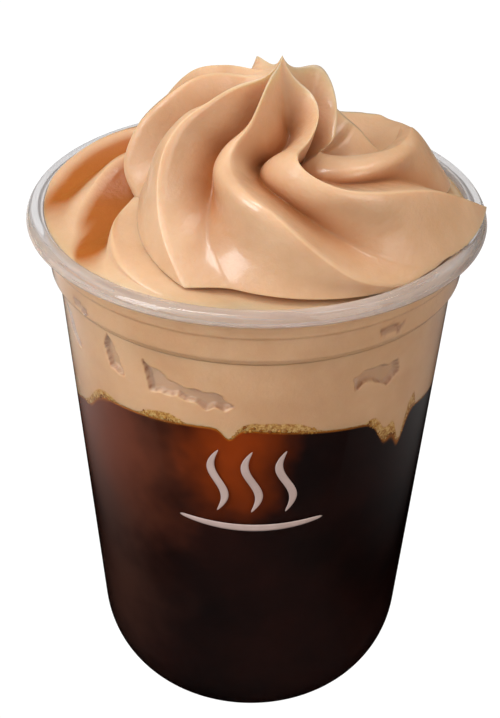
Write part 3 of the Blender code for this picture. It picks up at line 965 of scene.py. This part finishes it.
LOWER_FLUTES = [
    (0.2, 5.0, 0.30, 0.30, 1.5, 1.0, 0.60),
    (0.15, 12.0, 0.30, 0.16, 1.0, 1.0, 0.86),
    (0.2, -5.5, 0.0, 0.0, 1.0, 1.0, 0.85),
    (0.2, 1.5, 0.30, 0.30, 1.7, 1.0, 0.75),
    (0.2, 1.5, 0.30, 0.30, 1.7, 1.0, 0.75),
    (0.2, 1.5, 0.30, 0.30, 1.7, 1.0, 0.75),
    (0.2, 4.0, 0.25, 0.25, 1.7, 1.0, 0.75),
    (0.2, 6.0, 0.25, 0.25, 1.7, 1.0, 0.75),
]

lower_turn = make_mound(
    "lower_turn", LOWER_AXIS, LOWER_PEAK, LOWER_RIDGES, LOWER_FLUTES,
    flute_sides=40, rows_down=100, rows_under=16, underside=-FOAM_TOP_DEPTH / MM, deep=2.6,
    foot=(LIP_INNER_RADIUS + INTO_LIP) / MM,
)
place_piece(lower_turn, "foam_swirl", piped_finish)


# White studio: a glowing white table, a pale room, four soft lamps, a white card low on each
# side that only reflections show, and the photograph's camera.

TABLE_RADIUS = 3.0
TABLE_TOP = -0.2 * MM

bpy.context.scene.view_settings.view_transform = "Standard"

form = bmesh.new()
bmesh.ops.create_circle(form, cap_ends=True, segments=96, radius=TABLE_RADIUS)
for vert in form.verts:
    vert.co.z = TABLE_TOP
floor = finished("white_table", form)
white, tree, _, output = new_material("white table")
glow = tree.nodes.new("ShaderNodeEmission")
glow.inputs["Color"].default_value = (1.0, 1.0, 1.0, 1.0)
glow.inputs["Strength"].default_value = 1.05
tree.links.new(glow.outputs[0], output.inputs["Surface"])
floor.data.materials.append(white)
floor.visible_diffuse = False
floor.visible_glossy = False

world = bpy.data.worlds.new("white room")
world.use_nodes = True
background = world.node_tree.nodes["Background"]
background.inputs["Color"].default_value = (1.0, 0.93, 0.86, 1.0)
background.inputs["Strength"].default_value = 0.42
world.cycles_visibility.glossy = False
bpy.context.scene.world = world

SOFTBOXES = [
    # name, place, aim, size, power and colour
    ("left softbox", (-0.55, -0.35, 0.50), (0.0, 0.0, 0.10), (0.30, 0.40), 3.5, (0.95, 0.98, 1.0)),
    ("top softbox", (-0.20, -0.14, 0.80), (0.0, 0.0, 0.12), (0.16, 0.30), 2.1, (0.95, 0.98, 1.0)),
    ("right fill", (0.58, -0.58, 0.50), (0.0, 0.0, 0.10), (0.5, 0.5), 2.2, (1.0, 0.93, 0.86)),
    ("rear softbox", (0.32, 0.10, 0.85), (0.0, 0.0, 0.12), (0.3, 0.3), 1.3, (1.0, 0.95, 0.90)),
]
for name, place, aim, size, power, tint in SOFTBOXES:
    lamp = bpy.data.lights.new(name, "AREA")
    lamp.shape = "RECTANGLE"
    lamp.size, lamp.size_y = size
    lamp.energy = power
    lamp.color = tint
    made = bpy.data.objects.new(name, lamp)
    made.location = place
    made.rotation_euler = (Vector(aim) - Vector(place)).to_track_quat("-Z", "Y").to_euler()
    bpy.context.scene.collection.objects.link(made)

# The cards lie level with the table and glow most at the back, away from the cup.
CARD_SIDES = (0.055, 0.40)
CARD_ENDS = (-0.06, 0.40)
CARD_FADE_BACK = (-0.10, 0.30)
CARD_FADE_OUT = 0.13
CARD_LEAST_GLOW = 0.08

for name, side, strength in (("white_card_left", -1.0, 1.2), ("white_card_right", 1.0, 0.5)):
    form = bmesh.new()
    bmesh.ops.create_grid(form, x_segments=1, y_segments=1, size=1.0)
    for vert in form.verts:
        x = side * mix(*CARD_SIDES, (vert.co.x + 1.0) / 2.0)
        y = mix(*CARD_ENDS, (vert.co.y + 1.0) / 2.0)
        vert.co = (x, y, 0.0)
    card = finished(name, form)
    card_white, tree, _, output = new_material(name)
    glow = tree.nodes.new("ShaderNodeEmission")
    glow.inputs["Color"].default_value = (1.0, 0.96, 0.94, 1.0)
    apart = object_parts(tree)
    back = map_range(tree, apart["Y"], *CARD_FADE_BACK, CARD_LEAST_GLOW, strength, "SMOOTHSTEP")
    start, end = side * CARD_SIDES[0], side * CARD_FADE_OUT
    outward = map_range(tree, apart["X"], start, end, kind="SMOOTHSTEP")
    tree.links.new(math_node(tree, "MULTIPLY", back, outward), glow.inputs["Strength"])
    tree.links.new(glow.outputs[0], output.inputs["Surface"])
    card.data.materials.append(card_white)
    card.visible_diffuse = False
    card.visible_camera = False
    card.visible_shadow = False

# The camera was fitted to the lip, the wall and the base: its focal length and the photograph's
# height in pixels, its place and its three axes.
FOCAL_LENGTH = 3154.8
PHOTO_HEIGHT = 718.0
CAMERA_PLACE = (0.0, -0.57893, 0.40753)
CAMERA_RIGHT = Vector((0.9998273, 0.0103405, 0.0154414))
CAMERA_UP = Vector((-0.0185391, 0.4972895, 0.8673866))
CAMERA_BACK = Vector((0.0012904, -0.8675231, 0.4973953))

camera = bpy.data.cameras.new("camera")
camera.sensor_width = 36.0
camera.lens = camera.sensor_width * FOCAL_LENGTH / PHOTO_HEIGHT
camera.clip_start = 0.01
camera_object = bpy.data.objects.new("camera", camera)
turn = Matrix((CAMERA_RIGHT, CAMERA_UP, CAMERA_BACK)).transposed().to_4x4()
camera_object.matrix_world = Matrix.Translation(CAMERA_PLACE) @ turn
bpy.context.scene.collection.objects.link(camera_object)
bpy.context.scene.camera = camera_object
